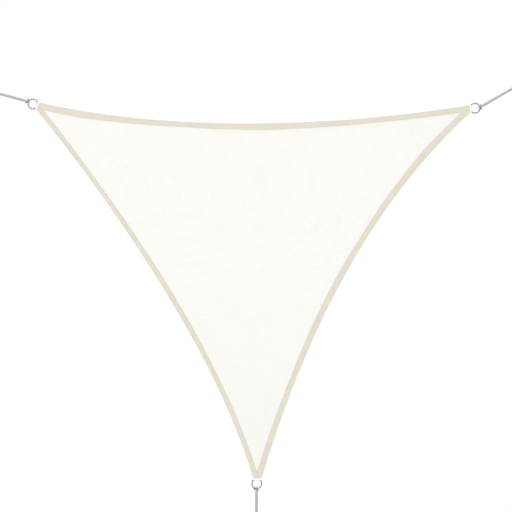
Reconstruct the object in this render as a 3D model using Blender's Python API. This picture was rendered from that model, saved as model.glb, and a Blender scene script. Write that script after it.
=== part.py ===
"""A triangular shade sail hung by three taut ropes. Metres, +Z up, its face to -Y.

Knitted cloth with hollow edges, webbing folded over each edge, and at each corner a webbing tab,
a D ring and a braided rope. Plan points are (x, z) pairs in the sail's plane, and y is its depth.
The origin is the middle of the eye at the far end of the left-hand rope.
"""

from collections import namedtuple
from math import acos, atan2, cos, degrees, pi, prod, radians, sin, tan

import bmesh
import bpy
from mathutils import Vector

GAP = 0.0003

# The three points where the hollow edges would meet, by the straight sides between them.
TOP_SIDE = 2.106
LEFT_SIDE = 2.1165
RIGHT_SIDE = 2.089
TOP_TILT = radians(-0.42)

# How deep each edge is cut hollow at its middle, how much deeper it is towards its end (skew) or
# towards both ends (fullness), and the width of its binding on the face.
Edge = namedtuple("Edge", "start end sag skew fullness band")
EDGES = {
    "top": Edge("left", "right", 0.1020, -0.0142, 0.0086, 0.0287),
    "left": Edge("left", "bottom", 0.1009, 0.0264, 0.0155, 0.0243),
    "right": Edge("right", "bottom", 0.1496, -0.0256, 0.0024, 0.0292),
}

# Angles are in degrees from +X towards +Z: the way the tab pulls, the way from the ring's bar to
# the rope's grip on its bow, and the rope. swing is how far the ring itself is turned from that way.
# cut_back is from the edges' meeting point to the line where the corner is cut off, and aside is
# how far the tab is sewn to the left of that line's middle, seen looking out of the sail.
Corner = namedtuple("Corner", "pull grip swing rope cut_back tab_width aside rope_length")
CORNERS = {
    "left": Corner(154.1, 155.0, 4.3, 164.8, 0.0543, 0.028, 0.0, 0.134),
    "right": Corner(9.0, 8.1, -3.6, 30.0, 0.0553, 0.031, 0.0, 0.171),
    "bottom": Corner(-90.0, -93.2, 0.0, -90.1, 0.0669, 0.030, -0.0023, 0.112),
}
# The share of an edge, from its corner, in which its crossings there are looked for.
NEAR_CORNER = 0.3
HALVINGS = 40

CLOTH_THICKNESS = 0.0015
CLOTH_ROWS = 24
BELLY = 0.022
BELLY_POWER = 1.5

LEAF_THICKNESS = 0.0012
BINDING_THICKNESS = CLOTH_THICKNESS + 2 * GAP + 2 * LEAF_THICKNESS
BINDING_STATIONS = 24
FOLD_ANGLES = (-90, -30, 30, 90)

TONGUE = 0.020
BAR_OUT = 0.009
BAR_SLACK = 0.0007
TAB_WALL = 0.0012
TAB_STEPS = 8

WIRE_RADIUS = 0.00275
BAR_HALF = 0.0135
BEND_RADIUS = 0.008
BOW_RADIUS = 0.0222
RING_DEPTH = 0.039
WIRE_SIDES = 10
BEND_STEPS = 4
BOW_STEPS = 16

ROPE_RADIUS = 0.0060
BRAID_RELIEF = 0.0005
BRAID_PITCH = 0.0123
STEPS_A_PITCH = 3
ROPE_SIDES = 16

# A body of oval sections along a rope, out being the distance along it.
Oval = namedtuple("Oval", "out half_width half_depth")

# The rope's end at the ring: its neck, the two turns round the wire, and the collar round the neck.
KNOT_NECK = [
    Oval(0.0060, 0.0040, 0.0040),
    Oval(0.0085, 0.0064, 0.0064),
    Oval(0.0145, 0.0061, 0.0061),
]
TURN_RADIUS = 0.0033
TURN_CLEARANCE = 0.0005
TURN_OFFSET = 0.0036
TURN_SWEEP = 110
TURN_STEPS = 8
TURN_ROOT = Oval(0.0100, 0.0022, 0.0028)
COLLAR_RADIUS = 0.0024
COLLAR_STEPS = 20
COLLAR_OUT = 0.0100
COLLAR_RISE = 0.0070
COLLAR_BACK_RISE = 0.0020
COLLAR_HALF_WIDTH = 0.0082
COLLAR_FRONT = 0.0112
COLLAR_BACK = 0.0080

# The rope's far end: the whipping round its two strands, and the eye beyond it.
WHIPPING = [
    Oval(0.0000, 0.0062, 0.0062),
    Oval(0.0030, 0.0125, 0.0072),
    Oval(0.0170, 0.0135, 0.0076),
    Oval(0.0200, 0.0125, 0.0072),
]
EYE_RADIUS = 0.0190
EYE_RUN = 0.0240
EYE_SWEEP = 120
EYE_STEPS = 16
EYE_ROOT = Oval(0.0140, 0.0064, 0.0)
STRAND_SIDES = 10


def direction(angle):
    return Vector((cos(radians(angle)), sin(radians(angle))))


def quarter_turn(v):
    return Vector((-v.y, v.x))


def meeting_points():
    """The corners of the straight-sided triangle, the left one at (0, 0)."""
    cosine = (TOP_SIDE**2 + LEFT_SIDE**2 - RIGHT_SIDE**2) / (2 * TOP_SIDE * LEFT_SIDE)
    left_slope = TOP_TILT - acos(cosine)
    return {
        "left": Vector((0, 0)),
        "right": TOP_SIDE * direction(degrees(TOP_TILT)),
        "bottom": LEFT_SIDE * direction(degrees(left_slope)),
    }


POINTS = meeting_points()


def inward(edge):
    """The unit vector square to an edge's straight side, pointing into the sail."""
    side = POINTS[edge.end] - POINTS[edge.start]
    normal = quarter_turn(side).normalized()
    centre = sum(POINTS.values(), Vector((0, 0))) / 3
    return normal if normal.dot(centre - POINTS[edge.start]) > 0 else -normal


def hollow(edge, t):
    """How far the edge lies inside its straight side, t of the way along."""
    across = 2 * t - 1
    return 4 * t * (1 - t) * (edge.sag + edge.skew * across + edge.fullness * across**2)


def edge_point(edge, t, inset=0.0):
    """The plan point t of the way along an edge, moved into the sail by inset."""
    start, side, normal = POINTS[edge.start], POINTS[edge.end] - POINTS[edge.start], inward(edge)
    step = 1e-4
    slope = (hollow(edge, t + step) - hollow(edge, t - step)) / (2 * step)
    tangent = (side + normal * slope).normalized()
    square = (normal - tangent * normal.dot(tangent)).normalized()
    return start + side * t + normal * hollow(edge, t) + square * inset


def inset_of(edge, point):
    """How far a plan point lies inside an edge."""
    side = POINTS[edge.end] - POINTS[edge.start]
    away = point - POINTS[edge.start]
    t = away.dot(side) / side.length_squared
    foot = edge_point(edge, t)
    square = edge_point(edge, t, 1.0) - foot
    return (point - foot).dot(square)


def past_cut(name, point):
    """How far a plan point lies outside the line where a corner is cut off."""
    corner = CORNERS[name]
    return (point - POINTS[name]).dot(direction(corner.pull)) + corner.cut_back


def find_station(inside, edge, name, inset):
    """The t nearest a corner at which a line along the edge still has inside(point) above 0."""
    bad, good = (0.0, NEAR_CORNER) if edge.start == name else (1.0, 1.0 - NEAR_CORNER)
    for _ in range(HALVINGS):
        middle = (bad + good) / 2
        if inside(edge_point(edge, middle, inset)) > 0:
            good = middle
        else:
            bad = middle
    return good


def edges_at(name):
    return [edge for edge in EDGES.values() if name in (edge.start, edge.end)]


def cut_middle(name):
    """The middle of the corner's cut end, between the two outer edges."""
    ends = []
    for edge in edges_at(name):
        t = find_station(lambda p: -past_cut(name, p), edge, name, 0.0)
        ends.append(edge_point(edge, t))
    return (ends[0] + ends[1]) / 2


def band_meeting(name):
    """Where the inner edges of a corner's two bindings meet."""
    first, second = edges_at(name)
    t = find_station(lambda p: inset_of(second, p) - second.band, first, name, first.band)
    return edge_point(first, t, first.band)


def tab_middle(name):
    """Where the tab leaves the corner's cut end."""
    return cut_middle(name) + CORNERS[name].aside * quarter_turn(direction(CORNERS[name].pull))


def bar_middle(name):
    return tab_middle(name) + BAR_OUT * direction(CORNERS[name].pull)


def contact(name):
    """Where the rope passes round the ring's bow."""
    return bar_middle(name) + RING_DEPTH * direction(CORNERS[name].grip)


def ring_axis(name):
    return CORNERS[name].grip + CORNERS[name].swing


def bow_middle(name):
    """The middle of the circle that the ring's bow follows."""
    return bar_middle(name) + (RING_DEPTH - BOW_RADIUS) * direction(ring_axis(name))


def rope_end(name):
    corner = CORNERS[name]
    return contact(name) + (KNOT_NECK[-1].out + GAP + corner.rope_length) * direction(corner.rope)


def eye_middle(name):
    """The middle of the eye at a rope's far end."""
    return rope_end(name) + (GAP + WHIPPING[-1].out + EYE_RUN) * direction(CORNERS[name].rope)


ORIGIN = eye_middle("left")


THICKNESS_WAY = Vector((0, 1, 0))


def in_space(point, y):
    return Vector((point.x - ORIGIN.x, y, point.y - ORIGIN.y))


def along_rope(start, name):
    """A function that places points by their distance along a rope, across it and in depth."""
    way = direction(CORNERS[name].rope)

    def place(out, across, y):
        return in_space(start + way * out + quarter_turn(way) * across, y)

    return place


def material(name, colour, roughness, metallic=0.0):
    made = bpy.data.materials.new(name)
    made.use_nodes = True
    shader = made.node_tree.nodes["Principled BSDF"]
    shader.inputs["Base Color"].default_value = (*colour, 1.0)
    shader.inputs["Roughness"].default_value = roughness
    shader.inputs["Metallic"].default_value = metallic
    return made


def add_object(name, bm, finish):
    """A mesh object with its faces turned outwards and round parts shaded smooth."""
    bmesh.ops.recalc_face_normals(bm, faces=bm.faces)
    mesh = bpy.data.meshes.new(name)
    bm.to_mesh(mesh)
    bm.free()
    mesh.shade_smooth()
    mesh.set_sharp_from_angle(angle=radians(40))
    made = bpy.data.objects.new(name, mesh)
    made.data.materials.append(finish)
    bpy.context.scene.collection.objects.link(made)
    return made


def bridge(bm, ring, following):
    """Faces between two closed rings of vertices."""
    for k in range(len(ring)):
        after = (k + 1) % len(ring)
        bm.faces.new((ring[k], ring[after], following[after], following[k]))


def sweep(path, radius, sides, reference, closed=False, relief=None):
    """A round tube along a path. Its sections stand on the reference direction, and relief gives
    the radius at a distance along the path and an angle round it."""
    bm = bmesh.new()
    rings = []
    along = 0.0
    for k, point in enumerate(path):
        before = path[k - 1] if closed or k else point
        after = path[(k + 1) % len(path)] if closed or k + 1 < len(path) else point
        tangent = (after - before).normalized()
        across = tangent.cross(reference).normalized()
        up = across.cross(tangent)
        ring = []
        for s in range(sides):
            angle = 2 * pi * s / sides
            reach = relief(along, angle) if relief else radius
            ring.append(bm.verts.new(point + reach * (cos(angle) * across + sin(angle) * up)))
        rings.append(ring)
        along += (after - point).length
    for ring, following in zip(rings, rings[1:]):
        bridge(bm, ring, following)
    if closed:
        bridge(bm, rings[-1], rings[0])
    else:
        bm.faces.new(rings[0])
        bm.faces.new(rings[-1])
    return bm


def unite(body, helpers):
    """Joins the helper solids to the body with Booleans, and keeps them as hidden guides."""
    for helper in helpers:
        helper.hide_render = True
        helper.display_type = "WIRE"
        joined = body.modifiers.new(helper.name, "BOOLEAN")
        joined.operation = "UNION"
        joined.solver = "MANIFOLD"
        joined.object = helper


def cloth_point(row, column):
    """A point of the panel's net, counted from its left corner. Each edge's hollow fades out
    towards the corner opposite it, and the belly starts one row in, clear of the bindings."""
    counts = {"left": CLOTH_ROWS - row - column, "right": column, "bottom": row}
    shares = {name: count / CLOTH_ROWS for name, count in counts.items()}
    point = sum((POINTS[name] * share for name, share in shares.items()), Vector((0, 0)))
    for edge in EDGES.values():
        span = shares[edge.start] + shares[edge.end]
        t = shares[edge.end] / span if span else 0
        if counts[edge.start] + counts[edge.end] == CLOTH_ROWS:
            return in_space(edge_point(edge, t, BINDING_THICKNESS / 2), 0)
        straight = POINTS[edge.start].lerp(POINTS[edge.end], t)
        point += (edge_point(edge, t) - straight) * span**2
    flat = 1 / CLOTH_ROWS
    free = [max(share - flat, 0) / (1 - 3 * flat) for share in shares.values()]
    return in_space(point, BELLY * (27 * prod(free)) ** BELLY_POWER)


def sail_cloth(finish):
    """The panel: a triangular net of points, cut off at its corners and thickened."""
    bm = bmesh.new()
    net = {}
    for row in range(CLOTH_ROWS + 1):
        for column in range(CLOTH_ROWS + 1 - row):
            net[row, column] = bm.verts.new(cloth_point(row, column))
    for row in range(CLOTH_ROWS):
        for column in range(CLOTH_ROWS - row):
            below = net[row + 1, column]
            bm.faces.new((net[row, column], net[row, column + 1], below))
            if row + column + 2 <= CLOTH_ROWS:
                bm.faces.new((net[row, column + 1], net[row + 1, column + 1], below))
    for name, corner in CORNERS.items():
        pull = direction(corner.pull)
        on_line = POINTS[name] - pull * (corner.cut_back + TONGUE + GAP)
        bmesh.ops.bisect_plane(
            bm,
            geom=bm.verts[:] + bm.edges[:] + bm.faces[:],
            plane_co=in_space(on_line, 0),
            plane_no=(pull.x, 0, pull.y),
            clear_outer=True,
        )
    made = add_object("sail_cloth", bm, finish)
    thick = made.modifiers.new("thickness", "SOLIDIFY")
    thick.thickness = CLOTH_THICKNESS
    thick.offset = 0
    return made


def binding_section(edge):
    """Pairs of (inset, y) round the folded webbing, outer face then inner face, from the front
    leaf's inner edge to the back leaf's."""
    half = BINDING_THICKNESS / 2
    slot = half - LEAF_THICKNESS
    stops = sorted(inset_of(edge, cut_middle(name)) for name in (edge.start, edge.end))
    leaf = [edge.band, stops[1], stops[0]]
    front = [((inset, -half), (inset, -slot)) for inset in leaf]
    fold = []
    for angle in FOLD_ANGLES:
        c, s = cos(radians(angle)), sin(radians(angle))
        fold.append(((half - half * c, half * s), (half - slot * c, slot * s)))
    back = [((inset, half), (inset, slot)) for inset in reversed(leaf)]
    return front + fold + back


def binding_reach(edge, name, inset):
    """Where a line along the binding stops at a corner: at the corner's cut end, or at the line
    from the middle of that end to where the two bindings' inner edges meet."""
    middle = cut_middle(name)
    seam = quarter_turn(band_meeting(name) - middle).normalized()
    if seam.dot(edge_point(edge, 0.5) - middle) < 0:
        seam = -seam
    return find_station(
        lambda p: min(-past_cut(name, p), seam.dot(p - middle) - GAP / 2), edge, name, inset
    )


def binding(name, edge, finish):
    """Webbing folded over the cloth's edge: a front leaf, a fold and a back leaf."""
    bm = bmesh.new()
    section = binding_section(edge)
    columns = []
    for pair in section:
        sides = []
        for inset, y in pair:
            first = binding_reach(edge, edge.start, inset)
            last = binding_reach(edge, edge.end, inset)
            column = []
            for k in range(BINDING_STATIONS + 1):
                t = first + (last - first) * k / BINDING_STATIONS
                column.append(bm.verts.new(in_space(edge_point(edge, t, inset), y)))
            sides.append(column)
        columns.append(sides)
    for k in range(BINDING_STATIONS):
        loop = [outer for outer, _ in columns] + [inner for _, inner in reversed(columns)]
        bridge(bm, [column[k] for column in loop], [column[k + 1] for column in loop])
    for (outer, inner), (next_outer, next_inner) in zip(columns, columns[1:]):
        for k in (0, BINDING_STATIONS):
            bm.faces.new((outer[k], next_outer[k], next_inner[k], inner[k]))
    return add_object(name, bm, finish)


def arc(centre, radius, first, last, steps):
    """Points on an arc about a centre, first to last in degrees."""
    angles = [radians(first + (last - first) * k / steps) for k in range(steps + 1)]
    return [centre + radius * Vector((cos(a), sin(a))) for a in angles]


def extrude_outline(name, outline, place, width, finish):
    """A prism of an outline of (out, y) points. place(out, across, y) puts a point in space."""
    bm = bmesh.new()
    ends = []
    for across in (-width / 2, width / 2):
        ends.append([bm.verts.new(place(out, across, y)) for out, y in outline])
    bridge(bm, ends[0], ends[1])
    bm.faces.new(ends[0])
    bm.faces.new(ends[1])
    return add_object(name, bm, finish)


def tab(name, finish):
    """Webbing with its tongue in the binding and its loop round the ring's bar."""
    corner = CORNERS[name]
    pull = direction(corner.pull)
    middle = tab_middle(name)
    lean = tan(radians(ring_axis(name) - corner.pull))

    def place(out, across, y):
        # The loop leans with the ring's bar.
        skewed = out - across * lean if out > shoulder - GAP else out
        return in_space(middle + pull * skewed + quarter_turn(pull) * across, y)

    inner = WIRE_RADIUS + GAP
    outer = inner + TAB_WALL
    half = CLOTH_THICKNESS / 2
    end = Vector((BAR_OUT + BAR_SLACK, 0))
    shoulder = BAR_OUT - 2 * BAR_SLACK
    outline = [(-TONGUE, -half), (GAP, -half), (shoulder, -outer)]
    outline += [tuple(p) for p in arc(end, outer, -90, 90, TAB_STEPS)]
    outline += [(shoulder, outer), (GAP, half), (-TONGUE, half)]
    made = extrude_outline("tab_" + name, outline, place, corner.tab_width, finish)
    hole = [(GAP + 2 * TAB_WALL, 0), (shoulder, -inner)]
    hole += [tuple(p) for p in arc(end, inner, -90, 90, TAB_STEPS)]
    hole += [(shoulder, inner)]
    cutter = extrude_outline(f"tab_{name}_loop", hole, place, 2 * corner.tab_width, finish)
    cutter.hide_render = True
    cutter.display_type = "WIRE"
    cut = made.modifiers.new("loop", "BOOLEAN")
    cut.object = cutter
    return made


def ring(name, finish):
    """A D of round wire: a bar with bent ends, and a bow."""
    axis = direction(ring_axis(name))
    bar = bar_middle(name)
    outline = arc(Vector((RING_DEPTH - BOW_RADIUS, 0)), BOW_RADIUS, -90, 90, BOW_STEPS)
    outline += arc(Vector((BEND_RADIUS, BAR_HALF)), BEND_RADIUS, 90, 180, BEND_STEPS)
    outline += arc(Vector((BEND_RADIUS, -BAR_HALF)), BEND_RADIUS, 180, 270, BEND_STEPS)
    path = [in_space(bar + axis * p.x + quarter_turn(axis) * p.y, 0) for p in outline]
    wire = sweep(path, WIRE_RADIUS, WIRE_SIDES, THICKNESS_WAY, closed=True)
    return add_object("ring_" + name, wire, finish)


def ovals(name, place, sections, finish):
    """A body of oval sections along the rope, closed at both ends."""
    bm = bmesh.new()
    rings = []
    for oval in sections:
        points = []
        for s in range(ROPE_SIDES):
            angle = 2 * pi * s / ROPE_SIDES
            across, y = oval.half_width * cos(angle), oval.half_depth * sin(angle)
            points.append(bm.verts.new(place(oval.out, across, y)))
        rings.append(points)
    for first, second in zip(rings, rings[1:]):
        bridge(bm, first, second)
    bm.faces.new(rings[0])
    bm.faces.new(rings[-1])
    return add_object(name, bm, finish)


def turn(name, side, place, finish):
    """One turn of the rope's end round the ring's bow, to one side of the grip's middle."""
    grip = contact(name) - bow_middle(name)
    spoke = direction(degrees(atan2(grip.y, grip.x) + side * TURN_OFFSET / BOW_RADIUS))
    wire = bow_middle(name) + spoke * BOW_RADIUS
    reach = WIRE_RADIUS + TURN_CLEARANCE + TURN_RADIUS
    half_loop = arc(Vector((0, 0)), reach, -TURN_SWEEP, TURN_SWEEP, TURN_STEPS)
    path = [place(TURN_ROOT.out, side * TURN_ROOT.half_width, -TURN_ROOT.half_depth)]
    path += [in_space(wire - spoke * p.x, p.y) for p in half_loop]
    path.append(place(TURN_ROOT.out, side * TURN_ROOT.half_width, TURN_ROOT.half_depth))
    along_wire = quarter_turn(spoke)
    tube = sweep(path, TURN_RADIUS, STRAND_SIDES, Vector((along_wire.x, 0, along_wire.y)))
    return add_object(f"knot_{name}_turn_{'a' if side < 0 else 'b'}", tube, finish)


def collar(name, place, finish):
    """The ring of cord that draws the neck in. It crosses the front as an upside-down V."""
    path = []
    for k in range(COLLAR_STEPS):
        angle = 2 * pi * k / COLLAR_STEPS
        front, back = max(cos(angle), 0), max(-cos(angle), 0)
        out = COLLAR_OUT - COLLAR_RISE * front - COLLAR_BACK_RISE * back
        depth = COLLAR_FRONT if front else COLLAR_BACK
        path.append(place(out, COLLAR_HALF_WIDTH * sin(angle), -depth * cos(angle)))
    way = direction(CORNERS[name].rope)
    tube = sweep(path, COLLAR_RADIUS, STRAND_SIDES, Vector((way.x, 0, way.y)), closed=True)
    return add_object(f"knot_{name}_collar", tube, finish)


def knot(name, finish):
    """The rope's end: two turns round the ring's bow, drawn into a neck by a collar."""
    place = along_rope(contact(name), name)
    body = ovals("knot_" + name, place, KNOT_NECK, finish)
    turns = [turn(name, side, place, finish) for side in (-1, 1)]
    unite(body, turns + [collar(name, place, finish)])
    return body


def braid(along, angle):
    """The radius of the braided rope: low bumps where its strands cross over."""
    phase = pi * along / BRAID_PITCH
    bump = abs(cos(2 * angle + phase) * cos(2 * angle - phase))
    return ROPE_RADIUS - BRAID_RELIEF / 2 + BRAID_RELIEF * bump


def rope(name, finish):
    corner = CORNERS[name]
    place = along_rope(contact(name), name)
    steps = round(corner.rope_length / BRAID_PITCH * STEPS_A_PITCH)
    start = KNOT_NECK[-1].out + GAP
    path = [place(start + corner.rope_length * k / steps, 0, 0) for k in range(steps + 1)]
    tube = sweep(path, ROPE_RADIUS, ROPE_SIDES, THICKNESS_WAY, relief=braid)
    return add_object("rope_" + name, tube, finish)


def eye(name, finish):
    """The rope's far end, turned back into an eye and whipped at its neck."""
    place = along_rope(rope_end(name) + direction(CORNERS[name].rope) * GAP, name)
    body = ovals("eye_" + name, place, WHIPPING, finish)
    centre = Vector((WHIPPING[-1].out + EYE_RUN, 0))
    path = [place(EYE_ROOT.out, -EYE_ROOT.half_width, 0)]
    path += [place(p.x, p.y, 0) for p in arc(centre, EYE_RADIUS, -EYE_SWEEP, EYE_SWEEP, EYE_STEPS)]
    path.append(place(EYE_ROOT.out, EYE_ROOT.half_width, 0))
    loop = sweep(path, ROPE_RADIUS, STRAND_SIDES, THICKNESS_WAY)
    unite(body, [add_object(f"eye_{name}_loop", loop, finish)])
    return body


def build():
    for old in list(bpy.data.objects):
        bpy.data.objects.remove(old)
    cloth = material("knitted cloth", (0.955, 0.955, 0.905), 0.9)
    sail_cloth(cloth)
    webbing = material("beige webbing", (0.79, 0.745, 0.644), 0.85)
    for name, edge in EDGES.items():
        binding("binding_" + name, edge, webbing)
    white = material("white webbing", (0.93, 0.93, 0.95), 0.8)
    steel = material("steel wire", (0.42, 0.41, 0.41), 0.3, 1.0)
    cord = material("grey-blue cord", (0.47, 0.50, 0.54), 0.75)
    for name in CORNERS:
        tab(name, white)
        ring(name, steel)
        knot(name, cord)
        rope(name, cord)
        eye(name, cord)


build()
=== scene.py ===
"""A shade sail as it hangs: knitted cloth with webbing folded over its hollow edges, and at each
corner a webbing tab, a steel ring and a braided rope, drawn taut.

Metres, +Z up, the sail's face to -Y. Plan points are (x, z) pairs in the sail's plane, y its depth.
"""
from collections import namedtuple
from itertools import accumulate
from math import acos, atan2, cos, degrees, exp, pi, prod, radians, sin, tan

import bmesh
import bpy
from mathutils import Matrix, Vector, noise


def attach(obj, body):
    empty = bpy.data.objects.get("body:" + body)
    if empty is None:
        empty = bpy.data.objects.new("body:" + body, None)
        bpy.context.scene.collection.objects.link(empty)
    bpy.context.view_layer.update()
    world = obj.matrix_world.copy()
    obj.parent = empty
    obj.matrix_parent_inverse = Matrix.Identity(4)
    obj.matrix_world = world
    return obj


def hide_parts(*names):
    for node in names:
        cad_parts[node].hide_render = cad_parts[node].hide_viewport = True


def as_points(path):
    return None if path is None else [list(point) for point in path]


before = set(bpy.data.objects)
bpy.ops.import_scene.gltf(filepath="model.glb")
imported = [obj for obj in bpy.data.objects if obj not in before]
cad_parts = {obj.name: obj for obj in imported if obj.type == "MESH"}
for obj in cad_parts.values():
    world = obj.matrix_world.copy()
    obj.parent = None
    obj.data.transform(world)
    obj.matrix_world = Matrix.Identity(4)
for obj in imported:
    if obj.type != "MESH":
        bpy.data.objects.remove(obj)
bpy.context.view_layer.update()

# ------- the plan, as the solids have it

GAP = 0.0003

TOP_SIDE = 2.106
LEFT_SIDE = 2.1165
RIGHT_SIDE = 2.089
TOP_TILT = radians(-0.42)

# Each edge hangs into the sail by its sag, with a skew to one end and a fullness near both, and
# its binding shows one band wide.
Edge = namedtuple("Edge", "start end sag skew fullness band")
EDGES = {
    "top": Edge("left", "right", 0.1020, -0.0142, 0.0086, 0.0287),
    "left": Edge("left", "bottom", 0.1009, 0.0264, 0.0155, 0.0243),
    "right": Edge("right", "bottom", 0.1496, -0.0256, 0.0024, 0.0292),
}

# In degrees: the way the webbing pulls, the way from the ring's bar to the rope's grip, how far the
# ring has swung from it, and the way of the rope. In metres: how far the corner is cut back, the
# tab's width, how far it sits to one side, and the rope's length.
Corner = namedtuple("Corner", "pull grip swing rope cut_back tab_width aside rope_length")
CORNERS = {
    "left": Corner(154.1, 155.0, 4.3, 164.8, 0.0543, 0.028, 0.0, 0.134),
    "right": Corner(9.0, 8.1, -3.6, 30.0, 0.0553, 0.031, 0.0, 0.171),
    "bottom": Corner(-90.0, -93.2, 0.0, -90.1, 0.0669, 0.030, -0.0023, 0.112),
}
NEAR_CORNER = 0.3
HALVINGS = 40

CLOTH_THICKNESS = 0.0015
BELLY = 0.022
BELLY_POWER = 1.5
BELLY_START = 1 / 24
LEAF_THICKNESS = 0.0012
BINDING_THICKNESS = CLOTH_THICKNESS + 2 * GAP + 2 * LEAF_THICKNESS

TONGUE = 0.020
BAR_OUT = 0.009
BAR_SLACK = 0.0007

WIRE_RADIUS = 0.00275
BAR_HALF = 0.0135
BEND_RADIUS = 0.008
BOW_RADIUS = 0.0222
RING_DEPTH = 0.039

BRAID_PITCH = 0.0123
NECK_OUT = 0.0145
TURN_OFFSET = 0.0036
TURN_SWEEP = 110
WHIPPING = 0.0200
EYE_RADIUS = 0.0190
EYE_RUN = 0.0240
EYE_SWEEP = 120
EYE_LEG = 0.0062

DEPTH_WAY = Vector((0, 1, 0))


def direction(angle):
    return Vector((cos(radians(angle)), sin(radians(angle))))


def quarter_turn(v):
    return Vector((-v.y, v.x))


def ease(value, low, high):
    """0 below low, 1 above high, smooth between."""
    t = min(max((value - low) / (high - low), 0.0), 1.0)
    return t * t * (3 - 2 * t)


def bell(offset):
    """1 at 0, falling away smoothly to both sides."""
    return exp(-offset * offset)


def lumps(*place):
    """Smooth bumps between about -1 and 1."""
    return noise.noise(Vector(place))


def meeting_points():
    """Where the sides would meet if they were straight, the left one at (0, 0)."""
    cosine = (TOP_SIDE**2 + LEFT_SIDE**2 - RIGHT_SIDE**2) / (2 * TOP_SIDE * LEFT_SIDE)
    return {
        "left": Vector((0, 0)),
        "right": TOP_SIDE * direction(degrees(TOP_TILT)),
        "bottom": LEFT_SIDE * direction(degrees(TOP_TILT - acos(cosine))),
    }


POINTS = meeting_points()


def side_of(edge):
    return POINTS[edge.end] - POINTS[edge.start]


def inward(edge):
    normal = quarter_turn(side_of(edge)).normalized()
    centre = sum(POINTS.values(), Vector((0, 0))) / 3
    return normal if normal.dot(centre - POINTS[edge.start]) > 0 else -normal


def hollow(edge, t):
    """How far the edge lies inside its straight side, t of the way along."""
    across = 2 * t - 1
    return 4 * t * (1 - t) * (edge.sag + edge.skew * across + edge.fullness * across**2)


def edge_frame(edge, t):
    """The plan point t of the way along an edge, the way along it and the way into the sail."""
    start, side, normal = POINTS[edge.start], side_of(edge), inward(edge)
    step = 1e-4
    slope = (hollow(edge, t + step) - hollow(edge, t - step)) / (2 * step)
    tangent = (side + normal * slope).normalized()
    square = (normal - tangent * normal.dot(tangent)).normalized()
    return start + side * t + normal * hollow(edge, t), tangent, square


def edge_point(edge, t, inset=0.0):
    point, _, square = edge_frame(edge, t)
    return point + square * inset


def share_along(edge, point):
    side = side_of(edge)
    return (point - POINTS[edge.start]).dot(side) / side.length_squared


def inset_of(edge, point):
    """How far a plan point lies inside an edge."""
    foot, _, square = edge_frame(edge, share_along(edge, point))
    return (point - foot).dot(square)


def past_cut(name, point):
    """How far a plan point lies outside the line where a corner is cut off."""
    corner = CORNERS[name]
    return (point - POINTS[name]).dot(direction(corner.pull)) + corner.cut_back


def find_station(inside, edge, name, inset):
    """The t nearest a corner at which a line along the edge still has inside(point) above 0."""
    bad, good = (0.0, NEAR_CORNER) if edge.start == name else (1.0, 1.0 - NEAR_CORNER)
    for _ in range(HALVINGS):
        middle = (bad + good) / 2
        if inside(edge_point(edge, middle, inset)) > 0:
            good = middle
        else:
            bad = middle
    return good


def edges_at(name):
    return [edge for edge in EDGES.values() if name in (edge.start, edge.end)]


def cut_middle(name):
    ends = []
    for edge in edges_at(name):
        t = find_station(lambda p: -past_cut(name, p), edge, name, 0.0)
        ends.append(edge_point(edge, t))
    return (ends[0] + ends[1]) / 2


def band_meeting(name):
    first, second = edges_at(name)
    t = find_station(lambda p: inset_of(second, p) - second.band, first, name, first.band)
    return edge_point(first, t, first.band)


def tab_middle(name):
    return cut_middle(name) + CORNERS[name].aside * quarter_turn(direction(CORNERS[name].pull))


def bar_middle(name):
    return tab_middle(name) + BAR_OUT * direction(CORNERS[name].pull)


def contact(name):
    """Where the rope passes round the ring's bow."""
    return bar_middle(name) + RING_DEPTH * direction(CORNERS[name].grip)


def ring_axis(name):
    return CORNERS[name].grip + CORNERS[name].swing


def bow_middle(name):
    """The middle of the circle that the ring's bow follows."""
    return bar_middle(name) + (RING_DEPTH - BOW_RADIUS) * direction(ring_axis(name))


def rope_end(name):
    corner = CORNERS[name]
    return contact(name) + (NECK_OUT + GAP + corner.rope_length) * direction(corner.rope)


def eye_middle(name):
    return rope_end(name) + (GAP + WHIPPING + EYE_RUN) * direction(CORNERS[name].rope)


ORIGIN = eye_middle("left")


def in_space(point, y=0.0):
    return Vector((point.x - ORIGIN.x, y, point.y - ORIGIN.y))


def way_in_space(way):
    return Vector((way.x, 0, way.y))


def along_rope(start, name):
    """A function that places points by their distance along a rope, across it and in depth."""
    way = direction(CORNERS[name].rope)

    def place(out, across, y=0.0):
        return in_space(start + way * out + quarter_turn(way) * across, y)

    return place


# ------- the camera

EYE_LEVEL = (1.24418, -6.615, -0.76865)
LENS = 100


def link(name, data):
    made = bpy.data.objects.new(name, data)
    bpy.context.scene.collection.objects.link(made)
    return made


def stand_camera():
    """Square to the sail's face, at the height of the middle of the picture."""
    data = bpy.data.cameras.new("camera")
    data.lens = LENS
    data.clip_end = 200
    camera = link("camera", data)
    camera.location = EYE_LEVEL
    camera.rotation_euler = (pi / 2, 0, 0)
    bpy.context.scene.camera = camera


# ------- finishes


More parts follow.
